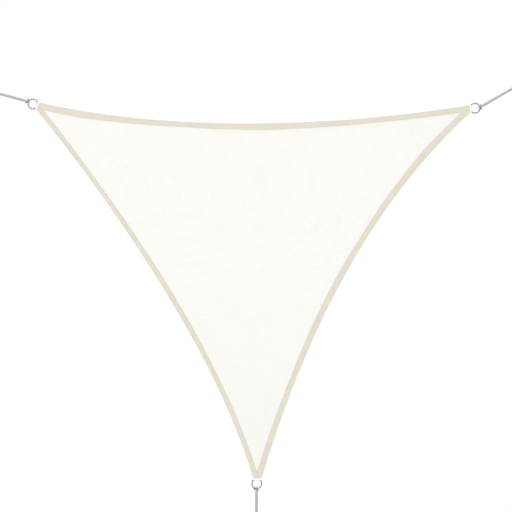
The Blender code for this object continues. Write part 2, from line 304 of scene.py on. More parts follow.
class Finish:
    """A material in the making: its shader, and short ways to add and join its nodes."""

    def __init__(self, name, **sockets):
        self.material = bpy.data.materials.new(name)
        self.material.use_nodes = True
        self.tree = self.material.node_tree
        self.shader = self.tree.nodes["Principled BSDF"]
        for socket, value in sockets.items():
            self.shader.inputs[socket.replace("_", " ")].default_value = value

    def node(self, kind, inputs=(), **settings):
        made = self.tree.nodes.new("ShaderNode" + kind)
        for key, value in settings.items():
            setattr(made, key, value)
        for key, value in dict(inputs).items():
            if isinstance(value, bpy.types.NodeSocket):
                self.tree.links.new(value, made.inputs[key])
            else:
                made.inputs[key].default_value = value
        return made

    def math(self, operation, *values):
        return self.node("Math", enumerate(values), operation=operation).outputs[0]

    def plus(self, first, second):
        return self.math("ADD", first, second)

    def minus(self, first, second):
        return self.math("SUBTRACT", first, second)

    def times(self, first, second):
        return self.math("MULTIPLY", first, second)

    def parts(self, vector):
        return self.node("SeparateXYZ", {0: vector}).outputs[:]

    def uv(self):
        """The two distances of the piece's own UV map."""
        return self.parts(self.node("UVMap").outputs["UV"])[:2]

    def place(self):
        return self.node("TexCoord").outputs["Object"]

    def noise(self, vector, scale, detail=2.0, rough=0.5):
        inputs = {"Vector": vector, "Scale": scale, "Detail": detail, "Roughness": rough}
        return self.node("TexNoise", inputs).outputs["Fac"]

    def grain(self, u, v, along, across, detail=3.0):
        """Noise on the UV map, at its own scale each way."""
        spot = self.node("CombineXYZ", {0: self.times(u, along), 1: self.times(v, across)})
        return self.noise(spot.outputs[0], 1.0, detail)

    def spread(self, value, low, high, to_low=0.0, to_high=1.0):
        inputs = {"Value": value, 1: low, 2: high, 3: to_low, 4: to_high}
        return self.node("MapRange", inputs).outputs["Result"]

    def wave(self, value, pitch):
        """A smooth wave from 0 to 1 along a distance."""
        swing = self.math("SINE", self.times(value, 2 * pi / pitch))
        return self.math("MULTIPLY_ADD", swing, 0.5, 0.5)

    def blend(self, share, *colours):
        first, second = ((*c, 1.0) if isinstance(c, tuple) else c for c in colours)
        made = self.node("Mix", {"Factor": share, 6: first, 7: second}, data_type="RGBA")
        return made.outputs[2]

    def tint(self, first, second, *spread):
        """The first colour, blended into the second by a value as spread() takes it."""
        return self.blend(self.spread(*spread), first, second)

    def finish(self, colour, roughness=None, height=None, depth=0.0):
        joined = {"Base Color": colour}
        if height is not None:
            inputs = {"Height": height, "Distance": depth, "Strength": 1.0}
            normal = self.node("Bump", inputs).outputs["Normal"]
            joined |= {"Roughness": roughness, "Normal": normal}
        for socket, value in joined.items():
            self.tree.links.new(value, self.shader.inputs[socket])
        return self.material


CLOTH_COLOUR = (0.905, 0.901, 0.864)
CLOTH_WARM = (0.905, 0.895, 0.832)
# Painted shade for the knit's holes, also used for faint random mottling.
CLOTH_HOLE_SHADE_AND_MOTTLE = (0.765, 0.758, 0.713)
BEIGE = (0.655, 0.612, 0.520)
BEIGE_PALE = (0.690, 0.655, 0.565)
BEIGE_DEEP = (0.600, 0.555, 0.465)
TAB_WHITE = (0.868, 0.875, 0.910)
TAB_SHADE = (0.820, 0.825, 0.880)
# Painted shade: the grey line across each tab where it wraps round the ring's bar.
TAB_BAR_SHADE = (0.640, 0.650, 0.700)
ON_BAR = 0.0052
BAR_SHADE_HALF_WIDTH = 0.0030
STEEL_LIGHT = (0.300, 0.290, 0.285)
STEEL_DARK = (0.140, 0.130, 0.128)
ROPE_LIGHT = (0.465, 0.494, 0.533)
# A paler copy of the rope's colour: painted light on the turns round the ring's bow.
ROPE_TURNS_LIT = (0.640, 0.675, 0.715)
ROPE_DARK = (0.318, 0.342, 0.376)
# Near-black twine: on the collars its darkness is painted shade of the knot.
TWINE_AND_KNOT_SHADE_LIGHT = (0.175, 0.178, 0.190)
TWINE_AND_KNOT_SHADE_DARK = (0.090, 0.092, 0.100)


# Faint bands where the knit crowds and opens: rings about a place, wider than they are high,
# that close up faster down the sail. Metres for one band, squared or cubed.
BANDS_MIDDLE = (0.7744, -0.4198)
BAND_ACROSS = 0.1433
BAND_UP = 0.0640
BAND_DOWN = 17.6
BAND_DEPTH = 0.010


def knitted_finish():
    """Rows of chain loops with slanting tapes between them. The UV map counts loops and rows."""
    made = Finish("knitted shade cloth", Roughness=0.88, Sheen_Weight=0.12, Sheen_Roughness=0.6)
    loops, rows = made.uv()
    place = made.place()
    x, _, z = made.parts(place)

    row = made.wave(rows, 1.0)
    chain = made.spread(row, 0.68, 0.90)
    legs = made.wave(made.math("MULTIPLY_ADD", row, 0.9, loops), 0.5)
    eyes = made.spread(made.spread(legs, 0.0, 0.35), 0, 1, 0.15, 1.0)
    slants = [made.math("POWER", made.wave(way, 0.5), 1.6)
              for way in (made.plus(loops, rows), made.minus(loops, rows))]
    tapes = made.times(made.math("MAXIMUM", *slants), 0.62)
    knit = made.plus(made.times(chain, eyes), made.times(made.minus(1.0, chain), tapes))
    fibres = made.grain(loops, rows, 2.0, 9.0, 2.0)
    height = made.math("MULTIPLY_ADD", fibres, 0.25, knit)

    east, down = made.minus(x, BANDS_MIDDLE[0]), made.minus(BANDS_MIDDLE[1], z)
    rings = made.plus(made.math("DIVIDE", made.times(east, east), BAND_ACROSS),
                      made.math("DIVIDE", made.times(down, down), BAND_UP))
    deep = made.math("POWER", made.math("MAXIMUM", down, 0.0), 3.0)
    rings = made.math("MULTIPLY_ADD", deep, BAND_DOWN, rings)
    wander = made.noise(place, 7.0)
    bands = made.wave(made.math("MULTIPLY_ADD", wander, 1.1, rings), 1.0)

    melange = made.grain(loops, rows, 0.12, 1.0)
    drift = made.noise(place, 3.0)
    colour = CLOTH_COLOUR
    for into, *spread in ((CLOTH_WARM, melange, 0.35, 0.65, 0.0, 0.35),
                          (CLOTH_WARM, z, -1.35, -1.80, 0.0, 0.25),
                          # Painted shade in the holes between the tapes, where the knit is low; the
                          # next line is faint random mottling.
                          (CLOTH_HOLE_SHADE_AND_MOTTLE, knit, 0.10, 0.60, 0.6, 0.0),
                          (CLOTH_HOLE_SHADE_AND_MOTTLE, drift, 0.3, 0.7, 0.0, 0.03),
                          ((0.0, 0.0, 0.0), bands, 0.0, 1.0, 0.0, BAND_DEPTH)):
        colour = made.tint(colour, into, *spread)
    return made.finish(colour, made.spread(knit, 0, 1, 0.95, 0.82), height, 0.0005)


def webbing_finish(name, middle, pale, deep, rib, herringbone, bar_shade=None):
    """Woven webbing: fine ribs across it and, on the wide kind, twill that turns about.

    The tabs' also has painted shade: a grey line where it wraps round the ring's bar.
    """
    made = Finish(name, Roughness=0.82, Sheen_Weight=0.10, Sheen_Roughness=0.5)
    along, across = made.uv()
    if herringbone:
        turned = made.math("PINGPONG", across, 0.004)
        twill = made.wave(made.plus(along, turned), rib)
        yarns = made.wave(made.minus(made.times(along, 0.35), turned), rib)
    else:
        twill, yarns = made.wave(along, rib), made.wave(across, rib * 1.3)
    weave = made.plus(made.times(twill, 0.65), made.times(yarns, 0.35))
    streaks = made.grain(along, across, 60.0, 900.0)
    patches = made.noise(made.place(), 9.0, 3.0)
    colour = made.tint(middle, pale, streaks, 0.3, 0.7)
    colour = made.tint(colour, deep, patches, 0.35, 0.7, 0.0, 0.5)
    colour = made.tint(colour, deep, weave, 0.05, 0.5, 0.45, 0.0)
    # Painted shade: a grey line across the tab over the ring's bar, a little uneven.
    if bar_shade:
        from_bar = made.math("ABSOLUTE", made.minus(made.math("ABSOLUTE", along), ON_BAR))
        bar_shade_share = made.times(made.spread(from_bar, BAR_SHADE_HALF_WIDTH, BAR_SHADE_HALF_WIDTH / 3),
                          made.spread(streaks, 0.3, 0.7, 0.7, 1.0))
        colour = made.blend(bar_shade_share, colour, bar_shade)
    height = made.plus(weave, made.times(streaks, 0.2))
    return made.finish(colour, made.spread(weave, 0, 1, 0.9, 0.74), height, 0.00015)


def thread_finish():
    made = Finish("sewing thread", Roughness=0.6, Sheen_Weight=0.15)
    fuzz = made.noise(made.place(), 900.0)
    colour = made.tint(BEIGE, BEIGE_PALE, fuzz, 0.3, 0.7)
    return made.finish(colour, made.spread(fuzz, 0, 1, 0.5, 0.75), fuzz, 0.0001)


def yarn_finish(name, light, dark, twist, roughness):
    """Twisted filament yarns: the UV map runs along each strand and round it."""
    made = Finish(name, Roughness=roughness, Sheen_Weight=0.12, Sheen_Roughness=0.45)
    along, around = made.uv()
    plies = made.wave(made.plus(made.times(along, 0.55), around), twist)
    fibres = made.grain(along, around, 150.0, 2400.0)
    patches = made.noise(made.place(), 60.0, 3.0)
    shade = made.plus(made.times(plies, 0.55), made.times(fibres, 0.45))
    colour = made.tint(dark, light, shade, 0.2, 0.65)
    colour = made.tint(colour, dark, patches, 0.45, 0.75, 0.0, 0.35)
    height = made.plus(plies, made.times(fibres, 0.5))
    rough = made.spread(fibres, 0.3, 0.7, roughness + 0.1, roughness - 0.1)
    return made.finish(colour, rough, height, 0.00022)


def steel_finish():
    """Drawn wire with a worn zinc skin: clouded, faintly pitted and finely scratched."""
    made = Finish("steel wire", Roughness=0.34, Metallic=1.0)
    place = made.place()
    clouds = made.noise(place, 180.0, 4.0, 0.6)
    pits = made.noise(place, 1400.0)
    drawn = made.node("Mapping", {"Vector": place, "Scale": (900, 900, 90)}).outputs[0]
    scratches = made.noise(drawn, 1.0)
    colour = made.tint(STEEL_LIGHT, STEEL_DARK, clouds, 0.35, 0.7)
    rough = made.plus(made.spread(clouds, 0.3, 0.7, 0.26, 0.42), made.times(scratches, 0.08))
    return made.finish(colour, rough, made.plus(pits, made.times(scratches, 0.5)), 0.00004)


def floor_finish():
    made = Finish("pale studio floor", Roughness=0.8)
    mottle = made.noise(made.place(), 1.5, 3.0)
    return made.finish(made.tint((0.90, 0.90, 0.90), (0.92, 0.92, 0.92), mottle, 0.3, 0.7))


# ------- mesh code for cloth and cords

SHARP = radians(60)
SPAN_PARTS = 24


def add_mesh(name, points, faces, uvs, finish):
    """A piece from points, faces and a UV pair for each corner of each face."""
    mesh = bpy.data.meshes.new(name)
    mesh.from_pydata(points, [], faces)
    layer = mesh.uv_layers.new(name="UVMap")
    for corner, pair in zip(layer.data, (pair for face in uvs for pair in face)):
        corner.uv = pair
    bm = bmesh.new()
    bm.from_mesh(mesh)
    bmesh.ops.recalc_face_normals(bm, faces=bm.faces)
    bm.to_mesh(mesh)
    bm.free()
    mesh.shade_smooth()
    mesh.set_sharp_from_angle(angle=SHARP)
    mesh.materials.append(finish)
    return link(name, mesh)


class Skins:
    """Closed skins, each of rings of points, gathered to be one piece."""

    def __init__(self):
        self.points, self.faces, self.uvs = [], [], []

    def add(self, rings, closed=False):
        """A tube with its ends closed, or one whose last ring joins its first."""
        along = distances([ring[0] for ring in rings] + rings[0][:1])
        around = distances(rings[0] + rings[0][:1])
        start = self.net(rings, len(rings) if closed else len(rings) - 1, len(rings[0]),
                         lambda i, k: (along[i], around[k]))
        for i in () if closed else (0, len(rings) - 1):
            steps = range(len(rings[0]))
            self.faces.append([start + i * len(steps) + k for k in steps])
            self.uvs.append([(along[i], around[k]) for k in steps])

    def net(self, rings, rows, columns, uv):
        """Faces between rings: so many rows and columns, which run round past the last point."""
        start, count = len(self.points), len(rings[0])
        self.points += [point for ring in rings for point in ring]
        for i in range(rows):
            here, there = start + i * count, start + (i + 1) % len(rings) * count
            for k in range(columns):
                after = (k + 1) % count
                self.faces.append((here + k, there + k, there + after, here + after))
                self.uvs.append((uv(i, k), uv(i + 1, k), uv(i + 1, k + 1), uv(i, k + 1)))
        return start

    def piece(self, name, finish):
        return add_mesh(name, self.points, self.faces, self.uvs, finish)


def distances(points):
    """How far along a line each of its points lies."""
    steps = ((after - before).length for before, after in zip(points, points[1:]))
    return list(accumulate(steps, initial=0.0))


def curve_through(points, step, closed=False):
    """Points a step apart on a smooth curve through the given ones."""
    if closed:
        knots = [points[-1], *points, *points[:2]]
    else:
        knots = [points[0] * 2 - points[1], *points, points[-1] * 2 - points[-2]]
    fine = []
    for a, b, c, d in zip(knots, knots[1:], knots[2:], knots[3:]):
        for n in range(SPAN_PARTS):
            t = n / SPAN_PARTS
            fine.append(((b * 2) + (c - a) * t + (a * 2 - b * 5 + c * 4 - d) * t**2
                         + (b * 3 - a - c * 3 + d) * t**3) / 2)
    fine.append(points[0] if closed else points[-1])
    lengths = distances(fine)
    stops = max(round(lengths[-1] / step), 2)
    even, k = [], 0
    for n in range(stops + 1):
        wanted = lengths[-1] * n / stops
        while k < len(fine) - 2 and lengths[k + 1] < wanted:
            k += 1
        share = (wanted - lengths[k]) / max(lengths[k + 1] - lengths[k], 1e-9)
        even.append(fine[k].lerp(fine[k + 1], min(share, 1.0)))
    return even[:-1] if closed else even


def tangents(points, closed=False):
    ways = []
    for k, point in enumerate(points):
        before = points[k - 1] if closed or k else point
        after = points[(k + 1) % len(points)] if closed or k + 1 < len(points) else point
        ways.append((after - before).normalized())
    return ways


def frames_along(path, reference, closed=False):
    """For each point of a path the two ways square to it, the second near reference."""
    made = []
    for tangent in tangents(path, closed):
        across = tangent.cross(reference).normalized()
        made.append((across, across.cross(tangent)))
    return made


def oval_ring(centre, wide_way, thin_way, half_width, half_depth, sides, squareness=1.0):
    ring = []
    for s in range(sides):
        c, n = cos(2 * pi * s / sides), sin(2 * pi * s / sides)
        c, n = (abs(value) ** squareness * (1 if value > 0 else -1) for value in (c, n))
        ring.append(centre + wide_way * half_width * c + thin_way * half_depth * n)
    return ring


def round_tube(skins, path, radius, sides, reference, narrowing=lambda s: 1.0):
    rings = []
    for point, ways, s in zip(path, frames_along(path, reference), distances(path)):
        reach = radius * narrowing(s)
        rings.append(oval_ring(point, *ways, reach, reach, sides))
    skins.add(rings)


def lay_strands(skins, path, reference, count, lay, section, sides, closed=False):
    """Strands laid round a path, one turn in each lay. The section gives, at a distance along
    the path, how far out a strand's middle lies, its half width and its half depth."""
    frames, run = frames_along(path, reference, closed), distances(path)
    for k in range(count):
        centres, outs = [], []
        for point, (across, up), s in zip(path, frames, run):
            angle = 2 * pi * (s / lay + k / count)
            outs.append(across * cos(angle) + up * sin(angle))
            centres.append(point + outs[-1] * section(s)[0])
        rings = []
        for centre, out, tangent, s in zip(centres, outs, tangents(centres, closed), run):
            wide = tangent.cross(out).normalized()
            rings.append(oval_ring(centre, wide, wide.cross(tangent), *section(s)[1:],
                                   sides, STRAND_SQUARENESS))
        skins.add(rings, closed)


STRAND_SQUARENESS = 0.85
STRANDS_A_WAY = 4
STRAND_TURN = 4 * BRAID_PITCH
STRAND_HALF_WIDTH = 0.00340
STRAND_HALF_DEPTH = 0.00158
STRAND_WEAVE = 0.00065
BRAID_REACH = 0.0068
STRAND_STEP = 0.0012
STRAND_SIDES = 10
CORD_SIDES = 8
CORE_RADIUS = 0.0030


def braid(path, narrowing):
    """Eight strands, four each way round, that pass over and under each other in turn."""
    skins = Skins()
    for sense in (-1, 1):
        def section(s, sense=sense):
            size = narrowing(s)
            weave = sense * STRAND_WEAVE * cos(8 * pi * s / STRAND_TURN)
            reach = BRAID_REACH - STRAND_HALF_DEPTH - STRAND_WEAVE + weave
            return reach * size, STRAND_HALF_WIDTH * size, STRAND_HALF_DEPTH * size

        lay_strands(skins, path, DEPTH_WAY, STRANDS_A_WAY, sense * STRAND_TURN, section,
                    STRAND_SIDES)
    round_tube(skins, path, CORE_RADIUS, STRAND_SIDES, DEPTH_WAY, narrowing)
    return skins


# ------- ropes, their knots and eyes

ROPE_INTO_KNOT = 0.0060
ROPE_INTO_EYE = 0.0050
NECK_NARROWING = 0.80


def rope_line(name, first, last):
    """Points along a rope, measured from its start beyond the knot."""
    place = along_rope(contact(name), name)
    count = round((last - first) / STRAND_STEP)
    start = NECK_OUT + GAP
    return [place(start + first + (last - first) * k / count, 0) for k in range(count + 1)]


def make_rope(name, finish):
    def narrowing(s):
        return NECK_NARROWING + (1 - NECK_NARROWING) * ease(s, 0, ROPE_INTO_KNOT)

    path = rope_line(name, -ROPE_INTO_KNOT, CORNERS[name].rope_length + ROPE_INTO_EYE)
    return braid(path, narrowing).piece(f"rope_{name}_braid", finish)


TURN_CORD_RADIUS = 0.0033
TURN_CLEARANCE = 0.0003
TURN_STRANDS = 4
TURN_STRAND_TURN = 0.026
TURN_STRAND_REACH = 0.00175
TURN_STRAND_DEPTH = 0.00150
TURN_CORE = 0.0010
TURN_TAPER = 0.0070
TURN_TIP = 0.45
TURN_STEP = 0.0009
# A turn's end in the neck: along the rope, to one side, and a share of its depth.
TURN_END = [(0.0155, 0.0008, 0.1), (0.0120, 0.0018, 0.6), (0.0090, 0.0027, 1.0)]
TURN_END_DEPTH = 0.0030
HEART_RADIUS = 0.0030
HEART_START = 0.0045
HEART_STEP = 0.0010


def make_turns(name, finish):
    """The rope's strands, parted four and four, pass round the ring's bow in two turns."""
    place = along_rope(contact(name), name)
    grip = contact(name) - bow_middle(name)
    around = WIRE_RADIUS + TURN_CLEARANCE + TURN_CORD_RADIUS
    skins = Skins()
    for side in (-1, 1):
        spoke = direction(degrees(atan2(grip.y, grip.x) + side * TURN_OFFSET / BOW_RADIUS))
        wire = bow_middle(name) + spoke * BOW_RADIUS
        front, back = ([place(out, side * aside, depth * share) for out, aside, share in TURN_END]
                       for depth in (-TURN_END_DEPTH, TURN_END_DEPTH))
        loop = []
        for k in range(-4, 5):
            angle = radians(TURN_SWEEP * k / 4)
            loop.append(in_space(wire - spoke * around * cos(angle), around * sin(angle)))
        path = curve_through([*front, *loop, *back[::-1]], TURN_STEP)
        length = (len(path) - 1) * TURN_STEP
        reference = way_in_space(quarter_turn(spoke))

        def section(s, length=length):
            size = TURN_TIP + (1 - TURN_TIP) * ease(min(s, length - s), 0, TURN_TAPER)
            return TURN_STRAND_REACH * size, TURN_STRAND_REACH * size, TURN_STRAND_DEPTH * size

        lay_strands(skins, path, reference, TURN_STRANDS, side * TURN_STRAND_TURN, section,
                    CORD_SIDES)
        round_tube(skins, path, TURN_CORE, CORD_SIDES, reference)
    heart = [place(HEART_START + HEART_STEP * k, 0) for k in range(9)]
    round_tube(skins, heart, HEART_RADIUS, 12, DEPTH_WAY)
    return skins.piece(f"knot_{name}_turns", finish)


COLLAR_OUT = 0.0100
COLLAR_RISE = 0.0088
COLLAR_BACK_RISE = 0.0020
COLLAR_HALF_WIDTH = 0.0094
COLLAR_FRONT = 0.0112
COLLAR_BACK = 0.0080
COLLAR_SLANT = 0.0030
COLLAR_STRAND = 0.00125
COLLAR_STRANDS = 3
COLLAR_LAY_TURNS = 6
COLLAR_STEP = 0.0008
# How much nearer the ring, and how far to one side, each collar has been pulled.
COLLAR_LIES = {"left": (0.0006, -0.0010), "right": (0.0024, -0.0020), "bottom": (0.0024, -0.0020)}


def make_collar(name, finish):
    """A ring of laid cord round the neck, its near-black colour painted shade of the knot. It
    crosses the front as a V open up the rope.
    """
    place = along_rope(contact(name), name)
    nearer, aside = COLLAR_LIES[name]
    points = []
    for k in range(20):
        angle = 2 * pi * k / 20
        front, back = max(cos(angle), 0), max(-cos(angle), 0)
        out = COLLAR_OUT - nearer - COLLAR_RISE * front - COLLAR_BACK_RISE * back
        out += COLLAR_SLANT * sin(angle)
        depth = COLLAR_FRONT if front else COLLAR_BACK
        points.append(place(out, aside + COLLAR_HALF_WIDTH * sin(angle), -depth * cos(angle)))
    path = curve_through(points, COLLAR_STEP, closed=True)
    lay = distances(path + path[:1])[-1] / COLLAR_LAY_TURNS

    def section(_):
        return COLLAR_STRAND * 0.95, COLLAR_STRAND * 1.05, COLLAR_STRAND * 0.95

    skins = Skins()
    reference = way_in_space(direction(CORNERS[name].rope))
    lay_strands(skins, path, reference, COLLAR_STRANDS, lay, section, CORD_SIDES, True)
    return skins.piece(f"collar_{name}", finish)


EYE_LEG_STOPS = (0.0010, 0.0045, 0.0080, 0.0120, 0.0200)
EYE_LEGS_APART = 0.012
# The rope's size at its two ends and in the whipping, and how far it takes to change.
EYE_LEG_END = 0.55
EYE_IN_WHIPPING = 0.85
EYE_TAPER = 0.010


def eye_placer(name):
    return along_rope(rope_end(name) + direction(CORNERS[name].rope) * GAP, name)


def leg_aside(out):
    """How far each leg of an eye lies beside the rope's line: they part inside the whipping."""
    return EYE_LEG * ease(out, -0.003, EYE_LEGS_APART)


def make_eye(name, finish):
    """The rope turned back on itself, both its legs side by side in the whipping."""
    place = eye_placer(name)
    middle = WHIPPING + EYE_RUN
    points = [(out, -leg_aside(out)) for out in EYE_LEG_STOPS]
    points += [(middle + EYE_RADIUS * cos(radians(a)), EYE_RADIUS * sin(radians(a)))
               for a in range(-EYE_SWEEP, EYE_SWEEP + 1, 15)]
    points += [(out, leg_aside(out)) for out in EYE_LEG_STOPS[::-1]]
    path = curve_through([place(out, across) for out, across in points], STRAND_STEP)
    length = (len(path) - 1) * STRAND_STEP

    def narrowing(s):
        end = min(s, length - s)
        size = EYE_LEG_END + (EYE_IN_WHIPPING - EYE_LEG_END) * ease(end, 0, EYE_TAPER)
        return size + (1 - EYE_IN_WHIPPING) * ease(end, WHIPPING - 0.001, WHIPPING + 0.006)

    return braid(path, narrowing).piece(f"eye_{name}_loop", finish)


WHIPPING_TWINE = 0.00065
WHIPPING_START = 0.0015
WHIPPING_END = 0.0188
WHIPPING_REACH = 0.0061
WHIPPING_SNUG = 0.86
WHIPPING_STEPS = 28


def make_whipping(name, finish):
    """Twine wound round both legs of the eye, turn beside turn."""
    place = eye_placer(name)
    count = round((WHIPPING_END - WHIPPING_START) / (2 * WHIPPING_TWINE)) * WHIPPING_STEPS
    path = []
    for k in range(count + 1):
        angle = 2 * pi * k / WHIPPING_STEPS
        snug = WHIPPING_SNUG + (1 - WHIPPING_SNUG) * ease(min(k / count, 1 - k / count), 0, 0.10)
        half = WHIPPING_REACH * snug + WHIPPING_TWINE * 0.6
        out = WHIPPING_START + (WHIPPING_END - WHIPPING_START) * k / count
        across = leg_aside(out) * max(-1, min(1, 1.6 * cos(angle))) + half * cos(angle)
        path.append(place(out, across, half * sin(angle)))
    skins = Skins()
    reference = way_in_space(direction(CORNERS[name].rope))
    round_tube(skins, path, WHIPPING_TWINE, 6, reference)
    return skins.piece(f"whipping_{name}", finish)


# ------- the cloth

CLOTH_ROWS = 230
KNIT_PITCH = 0.00465
EVEN_KNIT = Vector((0.7744, -0.4152))
LOOP_CROWDING = 0.0325
ROW_CROWDING = 0.0735
CREASES = [
    # height, slope, from, to, half width, depth
    (-0.452, 0.000, 0.36, 1.90, 0.011, -0.0007),
    (-0.624, 0.005, 0.66, 1.12, 0.016, 0.0011),
    (-1.045, 0.060, 0.90, 1.54, 0.011, 0.0013),
    (-1.255, 0.030, 1.02, 1.48, 0.011, 0.0012),
    (-1.555, 0.000, 1.15, 1.37, 0.011, 0.0013),
    (-1.680, 0.000, 1.19, 1.32, 0.010, 0.0012),
]
# Each corner's shallow tension folds: degrees from the pull, reach and depth.
PULL_FOLDS = {
    "left": [(-19, 0.60, 0.0011), (-9, 0.45, -0.0008), (3, 0.75, 0.0012), (13, 0.40, -0.0009)],
    "right": [(-15, 0.45, -0.0009), (-4, 0.70, 0.0012), (7, 0.50, -0.0009), (17, 0.60, 0.0010)],
    "bottom": [(-12, 0.40, 0.0010), (-5, 0.60, -0.0009), (2, 0.80, 0.0013), (10, 0.45, -0.0010)],
}
FOLD_SPREAD = 2.6
SHEET_WANDER = 0.0016
SHEET_RIPPLE = 0.0005
PUCKER = 0.0005
PUCKER_PITCH = 0.055
PUCKER_REACH = 0.16
PUCKER_FADE = 0.045


def cloth_relief(x, z):
    """How far folds, creases and puckers move the cloth in depth at a place in space."""
    point = Vector((x + ORIGIN.x, z + ORIGIN.y))
    insets = {name: inset_of(edge, point) - edge.band for name, edge in EDGES.items()}
    y = 0.0
    for height, slope, first, last, half_width, depth in CREASES:
        off = (z - height - slope * (x - (first + last) / 2)) / half_width
        ends = ease(x, first - 0.05, first + 0.08) * (1 - ease(x, last - 0.08, last + 0.05))
        y += depth * ends * bell(off)
    for name, folds in PULL_FOLDS.items():
        away = point - POINTS[name]
        distance = away.length
        turned = degrees(away.angle_signed(-direction(CORNERS[name].pull), 0.0))
        for angle, reach, depth in folds:
            side = (turned - angle) / FOLD_SPREAD
            if abs(side) < 3:
                run = ease(distance, 0.10, 0.24) * (1 - ease(distance, 0.35 * reach, reach))
                y += depth * run * bell(side)
    inset = min(insets.values())
    y += SHEET_WANDER * lumps(x * 3.1, z * 3.1, 4.2) * ease(inset, 0.05, 0.30)
    y += SHEET_RIPPLE * lumps(x * 2.2, z * 21.0, 1.7)
    y *= ease(inset, 0.004, 0.060)
    for name, edge in EDGES.items():
        inset = insets[name]
        if 0 < inset < PUCKER_REACH:
            s = share_along(edge, point) * side_of(edge).length
            uneven = lumps(s * 6, 0.3, len(name))
            swell = sin(2 * pi * s / PUCKER_PITCH + 3 * uneven) * (0.6 + 0.8 * uneven)
            corner = ease(min(insets[other] for other in EDGES if other != name), 0.02, 0.12)
            y += PUCKER * swell * corner * ease(inset, 0, 0.02) * exp(-inset / PUCKER_FADE)
    return y


def knit_count(x, z):
    """Loops and rows counted from a place where the knit is even. It crowds away from there."""
    east, up = x - EVEN_KNIT.x, z - EVEN_KNIT.y
    loops = (east + LOOP_CROWDING * east**2) / KNIT_PITCH + 0.8 * lumps(x * 1.4, z * 1.4, 7.5)
    rows = (up - ROW_CROWDING * up**2) / KNIT_PITCH + 1.2 * lumps(x * 1.4, z * 1.4, 0.5)
    return loops, rows


def cloth_place(row, column):
    """A point of the panel's net, counted from its left corner."""
    counts = {"left": CLOTH_ROWS - row - column, "right": column, "bottom": row}
    shares = {name: count / CLOTH_ROWS for name, count in counts.items()}
    point = sum((POINTS[name] * share for name, share in shares.items()), Vector((0, 0)))
    for edge in EDGES.values():
        span = shares[edge.start] + shares[edge.end]
        t = shares[edge.end] / span if span else 0
        if counts[edge.start] + counts[edge.end] == CLOTH_ROWS:
            return in_space(edge_point(edge, t, BINDING_THICKNESS / 2))
        straight = POINTS[edge.start].lerp(POINTS[edge.end], t)
        point += (edge_point(edge, t) - straight) * span**2
    free = [max(share - BELLY_START, 0) / (1 - 3 * BELLY_START) for share in shares.values()]
    placed = in_space(point, BELLY * (27 * prod(free)) ** BELLY_POWER)
    placed.y += cloth_relief(placed.x, placed.z)
    return placed


def make_cloth(finish):
    bm = bmesh.new()
    layer = bm.loops.layers.uv.new("UVMap")
    net, counts = {}, {}
    for row in range(CLOTH_ROWS + 1):
        for column in range(CLOTH_ROWS + 1 - row):
            vert = net[row, column] = bm.verts.new(cloth_place(row, column))
            counts[vert] = knit_count(vert.co.x, vert.co.z)
    for row in range(CLOTH_ROWS):
        for column in range(CLOTH_ROWS - row):
            below = net[row + 1, column]
            corners = [(net[row, column], net[row, column + 1], below)]
            if row + column + 2 <= CLOTH_ROWS:
                corners.append((net[row, column + 1], net[row + 1, column + 1], below))
            for three in corners:
                for loop in bm.faces.new(three).loops:
                    loop[layer].uv = counts[loop.vert]
    for name, corner in CORNERS.items():
        pull = direction(corner.pull)
        on_line = POINTS[name] - pull * (corner.cut_back + TONGUE + GAP)
        bmesh.ops.bisect_plane(
            bm, geom=bm.verts[:] + bm.edges[:] + bm.faces[:], plane_co=in_space(on_line),
            plane_no=way_in_space(pull), clear_outer=True)
    bmesh.ops.recalc_face_normals(bm, faces=bm.faces)
    mesh = bpy.data.meshes.new("cloth_panel")
    bm.to_mesh(mesh)
    bm.free()
    mesh.shade_smooth()
    mesh.materials.append(finish)
    made = link("cloth_panel", mesh)
    thicken(made, CLOTH_THICKNESS)
    apply_modifiers(made)
    return made


def thicken(made, thickness):
    wall = made.modifiers.new("thickness", "SOLIDIFY")
    wall.thickness = thickness
    wall.offset = 0


def apply_modifiers(made):
    bpy.ops.object.select_all(action="DESELECT")
    made.select_set(True)
    bpy.context.view_layer.objects.active = made
    for modifier in list(made.modifiers):
        bpy.ops.object.modifier_apply(modifier=modifier.name)


# ------- the bindings and their sewing

BINDING_STEP = 0.005
FREE_STATIONS = 6
STITCH_INSET = 0.0045
STITCH_TROUGH = 0.00018
TROUGH_SPREAD = 0.0013
TROUGH_STOPS = (0.0022, 0.0010, 0.0, -0.0010, -0.0022)
SELVEDGE = 0.00025
MITRE_GAP = 0.00002
MITRE_SINK = 0.00015
LUMP = 0.00010
RIPPLE = 0.00006
RIPPLE_PITCH = 0.011
WAVER = 0.0004
# Where a binding's inner edge lies wide or narrow: share along it, half width as a share, shift.
WANDERS = {
    "top": [(0.100, 0.065, 0.0039), (0.335, 0.075, -0.0036), (0.525, 0.050, 0.0026),
            (0.790, 0.095, -0.0031)],
    "left": [(0.210, 0.110, -0.0032), (0.390, 0.060, -0.0011), (0.780, 0.070, -0.0011)],
    "right": [(0.165, 0.050, 0.0029), (0.390, 0.055, -0.0028), (0.765, 0.120, -0.0030)],
}


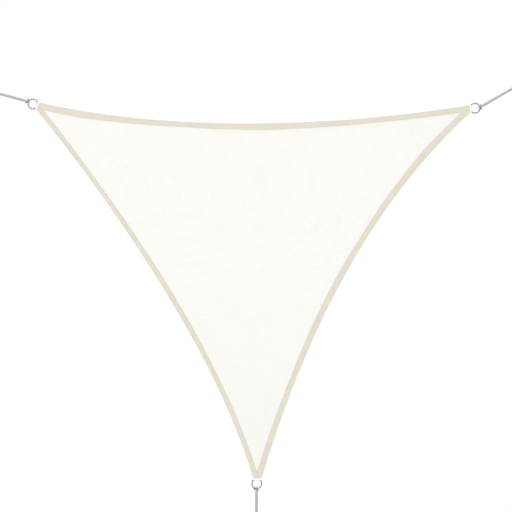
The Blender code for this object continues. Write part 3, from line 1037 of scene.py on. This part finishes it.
def binding_section(edge):
    """Points (inset, y) round the folded webbing, its outer face and back by its inner face, with
    a trough under each row of stitches and a rounded selvedge."""
    half = BINDING_THICKNESS / 2
    slot = half - LEAF_THICKNESS
    middle = (half + slot) / 2
    rows = outer, inner = STITCH_INSET, edge.band - STITCH_INSET
    insets = [inset_of(edge, cut_middle(name)) for name in (edge.start, edge.end)]
    insets += [row + stop for row in rows for stop in TROUGH_STOPS]
    insets += [outer - 0.0018, outer + 0.0060, (outer + inner) / 2, inner - 0.0060,
               edge.band - 0.0006]
    front = [((edge.band + SELVEDGE, -middle - 0.0003), (edge.band + SELVEDGE, -middle + 0.0003))]
    for inset in sorted(set(insets), reverse=True):
        trough = STITCH_TROUGH * sum(bell((inset - row) / TROUGH_SPREAD) for row in rows)
        front.append(((inset, -half + trough), (inset, -slot)))
    fold = []
    for k in range(7):
        angle = radians(-75 + 25 * k)
        c, s = cos(angle), sin(angle)
        fold.append(((half - half * c, half * s), (half - slot * c, slot * s)))
    back = [((a, -b), (c, -d)) for (a, b), (c, d) in reversed(front)]
    outers, inners = zip(*front, *fold, *back)
    return outers + inners[::-1]


def binding_reach(edge, name, inset):
    """Where a line along the binding stops at a corner: at the corner's cut end, or at the line
    from the middle of that end to where the two bindings' inner edges meet."""
    middle = cut_middle(name)
    seam = quarter_turn(band_meeting(name) - middle).normalized()
    if seam.dot(edge_point(edge, 0.5) - middle) < 0:
        seam = -seam
    return find_station(
        lambda p: min(-past_cut(name, p), seam.dot(p - middle) - MITRE_GAP / 2), edge, name, inset)


def binding_span(edge, inset):
    return [binding_reach(edge, name, inset) for name in (edge.start, edge.end)]


def wander(name, t, inset):
    """How far a line along the binding strays: its inner half goes with the inner edge."""
    shift = sum(by * bell((t - at) / half) for at, half, by in WANDERS[name])
    return shift * ease(inset, EDGES[name].band * 0.5, EDGES[name].band)


def make_binding(name, finish):
    edge, seed = EDGES[name], len(name)
    section = binding_section(edge)
    stations = round(side_of(edge).length / BINDING_STEP)
    lines, runs = [], []
    for inset, y in section:
        first, last = binding_span(edge, inset)
        lines.append([])
        runs.append([])
        for k in range(stations + 1):
            t = first + (last - first) * k / stations
            s = t * side_of(edge).length
            freedom = ease(min(k, stations - k), 0, FREE_STATIONS)
            swell = LUMP * lumps(s * 40, y * 900, seed) * freedom
            swell += RIPPLE * sin(2 * pi * s / RIPPLE_PITCH) * freedom
            if k in (0, stations) and abs(y) > BINDING_THICKNESS / 2 - LEAF_THICKNESS / 2:
                swell -= MITRE_SINK
            waver = WAVER * lumps(s * 9, 2.5, seed) * freedom
            moved = inset + waver * ease(inset, edge.band * 0.5, edge.band)
            moved += wander(name, t, inset) * freedom
            lines[-1].append(in_space(edge_point(edge, t, moved), y + (swell if y > 0 else -swell)))
            runs[-1].append(s)
    count = len(section)
    across = distances([Vector(point) for point in (*section, section[0])])
    skins = Skins()
    skins.net(list(zip(*lines)), stations, count, lambda k, m: (runs[m % count][k], across[m]))
    for k in (0, stations):
        for m in range(count // 2 - 1):
            quad = (m, m + 1, count - 2 - m, count - 1 - m)
            skins.faces.append([k * count + corner for corner in quad])
            skins.uvs.append([(runs[m][k], across[m])] * 4)
    return skins.piece(f"binding_{name}_webbing", finish)


STITCH_PITCH = 0.0050
STITCH_LENGTH = 0.0040
THREAD_RADIUS = 0.00028
STITCH_DIP = 0.00045
STITCH_PROUD = 0.00010
ROW_END = 0.004
BOX_PITCH = 0.0042
BOX_PROUD = 0.00012
BOX_INSET = 0.0045
BOX_NEAR = 0.0035
BOX_FAR = 0.0165


def model_stitch():
    """One stitch along X, its face to -Y: a short thread with both ends pulled down."""
    bpy.ops.object.select_all(action="DESELECT")
    bpy.ops.mesh.primitive_cylinder_add(vertices=5, radius=THREAD_RADIUS, depth=STITCH_LENGTH,
                                        end_fill_type="NGON", rotation=(0, pi / 2, 0))
    stitch = bpy.context.object
    bpy.ops.object.transform_apply(location=False, rotation=True, scale=False)
    bpy.ops.object.mode_set(mode="EDIT")
    for x in (-STITCH_LENGTH / 4, STITCH_LENGTH / 4):
        bpy.ops.mesh.select_all(action="SELECT")
        bpy.ops.mesh.bisect(plane_co=(x, 0, 0), plane_no=(1, 0, 0))
    for side in (-1, 1):
        bm = bmesh.from_edit_mesh(stitch.data)
        for vert in bm.verts:
            vert.select_set(vert.co.x * side > STITCH_LENGTH * 0.4)
        bm.select_flush_mode()
        bmesh.update_edit_mesh(stitch.data)
        bpy.ops.transform.translate(value=(0, STITCH_DIP, 0))
        bpy.ops.transform.resize(value=(1, 0.7, 0.7))
    bpy.ops.object.mode_set(mode="OBJECT")
    mesh = stitch.data
    shape = [vert.co.copy() for vert in mesh.vertices], [tuple(p.vertices) for p in mesh.polygons]
    bpy.data.objects.remove(stitch)
    return shape


def sew(name, places, shape, finish):
    """Copies of the stitch at places of (middle, way along, way up), as one piece."""
    points, faces = [], []
    verts, polygons = shape
    for middle, along, out in places:
        turn = Matrix((along, -out, along.cross(-out))).transposed()
        start = len(points)
        points += [middle + turn @ vert for vert in verts]
        faces += [tuple(start + corner for corner in face) for face in polygons]
    uvs = [[(0.0, 0.0)] * len(face) for face in faces]
    return add_mesh(name, points, faces, uvs, finish)


def binding_stitches(name):
    """Two rows through the front leaf and two through the back."""
    edge, side = EDGES[name], side_of(EDGES[name]).length
    places = []
    y = BINDING_THICKNESS / 2 - STITCH_TROUGH + STITCH_PROUD
    for inset in (STITCH_INSET, edge.band - STITCH_INSET):
        first, last = binding_span(edge, inset)
        first, last = first * side + ROW_END, last * side - ROW_END
        count = round((last - first) / STITCH_PITCH)
        for k in range(count):
            t = (first + (last - first) * (k + 0.5) / count) / side
            freedom = ease(min(k, count - 1 - k), 0, FREE_STATIONS)
            point = edge_point(edge, t, inset + wander(name, t, inset) * freedom)
            along = way_in_space(edge_frame(edge, t)[1])
            places += [(in_space(point, way * y), along, way * DEPTH_WAY) for way in (-1, 1)]
    return places


def line_stitches(a, b, out, y):
    """Stitches on a straight line between two plan points."""
    span = b - a
    count = max(round(span.length / BOX_PITCH), 1)
    along = way_in_space(span).normalized()
    return [(in_space(a + span * (k + 0.5) / count, y), along, out) for k in range(count)]


def corner_stitches(name):
    """A box with a cross in it, sewn through the bindings and the tab's tongue."""
    corner = CORNERS[name]
    pull = direction(corner.pull)
    side = quarter_turn(pull) * (corner.tab_width / 2 - BOX_INSET)
    near, far = (tab_middle(name) - pull * depth for depth in (BOX_NEAR, BOX_FAR))
    a, b, c, d = near - side, near + side, far + side, far - side
    places = []
    for way in (-1, 1):
        y = way * (BINDING_THICKNESS / 2 + BOX_PROUD)
        for start, end in ((a, b), (b, c), (c, d), (d, a), (a, c), (b, d)):
            places += line_stitches(start, end, way * DEPTH_WAY, y)
    return places


# ------- tabs and rings

TAB_WALL = 0.00085
TAB_LEAF = 0.00046
TAB_ON_WIRE = 0.0002
TAB_SELVEDGE = 0.00025
TAB_CROWN = 0.00008
TAB_STEP = 0.0012
TAB_COLUMNS = 24


def make_tab(name, finish):
    """White webbing passed round the ring's bar, both ends between the binding's leaves."""
    corner = CORNERS[name]
    pull = direction(corner.pull)
    middle = tab_middle(name)
    lean = tan(radians(ring_axis(name) - corner.pull))
    reach = WIRE_RADIUS + TAB_ON_WIRE + TAB_WALL / 2
    bar = BAR_OUT + BAR_SLACK * 0.3
    half_line = [(-TONGUE + 0.0005, TAB_LEAF), (-0.010, TAB_LEAF), (-0.001, TAB_LEAF + 0.00005),
                 (0.0022, TAB_LEAF + 0.0006), (0.0052, reach * 0.80), (bar - 0.0012, reach * 0.985)]
    points = [(out, -y) for out, y in half_line]
    points += [(bar + reach * cos(radians(a)), reach * sin(radians(a))) for a in range(-75, 76, 25)]
    points += [(out, y) for out, y in reversed(half_line)]
    path = curve_through([Vector((out, y, 0)) for out, y in points], TAB_STEP)
    grid = []
    for p in path:
        grid.append([])
        width = corner.tab_width * (1 - 0.02 * ease(p.x, 0, BAR_OUT))
        for k in range(TAB_COLUMNS + 1):
            share = k / TAB_COLUMNS - 0.5
            crown = TAB_CROWN * lumps(p.x * 300, share * 9, len(name))
            out = p.x - share * width * lean * ease(p.x, -0.002, bar)
            grid[-1].append(in_space(middle + pull * out + quarter_turn(pull) * share * width,
                                     p.y + (crown if p.y > 0 else -crown)))
    last = len(path) - 1
    skins = Skins()
    skins.net(grid, last, TAB_COLUMNS, lambda i, k: ((i - last / 2) * TAB_STEP,
                                                     k * corner.tab_width / TAB_COLUMNS))
    made = skins.piece(f"tab_{name}_webbing", finish)
    thicken(made, TAB_WALL)
    rounded = made.modifiers.new("selvedges", "BEVEL")
    rounded.width = TAB_SELVEDGE
    rounded.segments = 2
    rounded.limit_method = "ANGLE"
    rounded.angle_limit = SHARP
    apply_modifiers(made)
    return made


WIRE_SIDES = 24
BOW_STEPS = 48
BEND_STEPS = 8
LEG_STEPS = 4
BAR_STEPS = 10


def make_ring(name, finish):
    """Wire bent to a D: modelled with its bar along Z and its bow to +X, then put in its place."""
    bpy.ops.object.select_all(action="DESELECT")
    bow_x = RING_DEPTH - BOW_RADIUS
    bpy.ops.mesh.primitive_circle_add(vertices=WIRE_SIDES, radius=WIRE_RADIUS,
                                      location=(bow_x, 0, BOW_RADIUS), rotation=(0, pi / 2, 0))
    ring = bpy.context.object
    ring.name = f"ring_{name}_wire"
    bpy.ops.object.transform_apply(location=True, rotation=True, scale=True)
    bpy.ops.object.mode_set(mode="EDIT")
    bpy.ops.mesh.select_all(action="SELECT")
    # The bow, from the top down to the bottom.
    bpy.ops.mesh.spin(steps=BOW_STEPS, angle=pi, center=(bow_x, 0, 0), axis=(0, -1, 0))

    def leg(x, z):
        bpy.ops.mesh.extrude_region_move(TRANSFORM_OT_translate={"value": (x, 0, z)})

    # Along the lower leg, round the lower bend, along the bar, round the upper bend.
    for _ in range(LEG_STEPS):
        leg((BEND_RADIUS - bow_x) / LEG_STEPS, (BOW_RADIUS - BAR_HALF - BEND_RADIUS) / LEG_STEPS)
    for way, steps in ((-1, BAR_STEPS), (1, 0)):
        bpy.ops.mesh.spin(steps=BEND_STEPS, angle=pi / 2,
                          center=(BEND_RADIUS, 0, way * BAR_HALF), axis=(0, -1, 0))
        for _ in range(steps):
            leg(0, 2 * BAR_HALF / BAR_STEPS)
    bpy.ops.mesh.select_all(action="DESELECT")
    bm = bmesh.from_edit_mesh(ring.data)
    for edge in bm.edges:
        if edge.is_boundary:
            edge.select_set(True)
    bmesh.update_edit_mesh(ring.data)
    bpy.ops.mesh.bridge_edge_loops()
    bpy.ops.mesh.select_all(action="SELECT")
    bpy.ops.mesh.normals_make_consistent(inside=False)
    bpy.ops.object.mode_set(mode="OBJECT")
    ring.rotation_euler = (0, -radians(ring_axis(name)), 0)
    ring.location = in_space(bar_middle(name))
    bpy.ops.object.transform_apply(location=True, rotation=True, scale=True)
    ring.data.shade_smooth()
    ring.data.materials.append(finish)
    return ring


# ------- the studio

FLOOR_LEVEL = -2.45
FLOOR_RADIUS = 2.6
# The sky's strength falls from all white below to its top between two heights.
SKY_FADE = {1: 0.35, 2: 0.95, 3: 1.02, 4: 0.45}
SAIL_MIDDLE = (1.24, 0, -0.8)
# Each light's place, the side of its square, and its power.
LIGHTS = {
    "key light": ((-3.0, -6.5, 0.2), 2.5, 54),
    "fill light": ((2.2, -7.2, -2.2), 2.2, 106),
    "top light": ((1.2, 0.6, 3.4), 3.0, 140),
}


def light_studio():
    world = bpy.data.worlds.new("white studio")
    bpy.context.scene.world = world
    world.use_nodes = True
    nodes, links = world.node_tree.nodes, world.node_tree.links
    height = nodes.new("ShaderNodeSeparateXYZ")
    links.new(nodes.new("ShaderNodeTexCoord").outputs["Generated"], height.inputs[0])
    fade = nodes.new("ShaderNodeMapRange")
    fade.interpolation_type = "SMOOTHSTEP"
    for key, value in SKY_FADE.items():
        fade.inputs[key].default_value = value
    links.new(height.outputs["Z"], fade.inputs["Value"])
    links.new(fade.outputs["Result"], nodes["Background"].inputs["Strength"])
    nodes["Background"].inputs["Color"].default_value = (1, 1, 1, 1)
    for name, (place, size, power) in LIGHTS.items():
        data = bpy.data.lights.new(name, "AREA")
        data.size = size
        data.energy = power
        light = link(name, data)
        light.location = place
        aim = Vector(SAIL_MIDDLE) - light.location
        light.rotation_euler = aim.to_track_quat("-Z", "Y").to_euler()
    bpy.context.scene.view_settings.view_transform = "Standard"


def lay_floor(finish):
    bpy.ops.object.select_all(action="DESELECT")
    bpy.ops.mesh.primitive_circle_add(vertices=128, radius=FLOOR_RADIUS, fill_type="NGON",
                                      location=(SAIL_MIDDLE[0], 0, FLOOR_LEVEL))
    floor = bpy.context.object
    floor.name = "studio_floor"
    bpy.ops.object.transform_apply(location=True, rotation=True, scale=True)
    floor.data.materials.append(finish)


# ------- making it all


def put(piece, slot, *nodes):
    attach(piece, "root")
    if nodes:
        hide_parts(*nodes)
    return piece


def main():
    stand_camera()
    rope_yarn = yarn_finish("grey-blue rope yarn", ROPE_LIGHT, ROPE_DARK, 0.0016, 0.72)
    # The turns are the rope's own strands, given a paler copy of its yarn: painted light.
    lit_turns_yarn = yarn_finish("pale rope yarn", ROPE_TURNS_LIT, ROPE_LIGHT, 0.0016, 0.72)
    # Dark twine for the whippings; on the collars its near-black colour is painted shade of the
    # knot.
    twine_and_knot_shade = yarn_finish("dark whipping twine", TWINE_AND_KNOT_SHADE_LIGHT, TWINE_AND_KNOT_SHADE_DARK, 0.0010, 0.66)
    for name, corner in CORNERS.items():
        line = put(make_rope(name, rope_yarn), "cord", f"rope_{name}")
        ends = [
            put(make_turns(name, lit_turns_yarn), "cord", f"knot_{name}"),
            put(make_collar(name, twine_and_knot_shade), "cord"),
            put(make_eye(name, rope_yarn), "cord", f"eye_{name}"),
            put(make_whipping(name, twine_and_knot_shade), "cord"),
        ]
        path = rope_line(name, 0, corner.rope_length)
        tuple(path[0])
        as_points(path)

    steel = steel_finish()
    # The tab webbing carries painted shade, a grey line over the ring's bar.
    white = webbing_finish("white tab webbing", TAB_WHITE, TAB_WHITE, TAB_SHADE, 0.0011, False,
                           TAB_BAR_SHADE)
    beige = webbing_finish("beige binding webbing", BEIGE, BEIGE_PALE, BEIGE_DEEP, 0.0016, True)
    thread = thread_finish()
    shape = model_stitch()
    for name in CORNERS:
        put(make_ring(name, steel), "steel_wire", f"ring_{name}")
        put(make_tab(name, white), "white_webbing", f"tab_{name}")
    for name in EDGES:
        put(make_binding(name, beige), "beige_webbing", f"binding_{name}")
        stitches = sew(f"stitches_{name}", binding_stitches(name), shape, thread)
        put(stitches, "beige_webbing")
    for name in CORNERS:
        stitches = sew(f"stitches_corner_{name}", corner_stitches(name), shape, thread)
        put(stitches, "beige_webbing")
    cloth = put(make_cloth(knitted_finish()), "knitted_cloth", "sail_cloth")

    light_studio()
    lay_floor(floor_finish())


main()
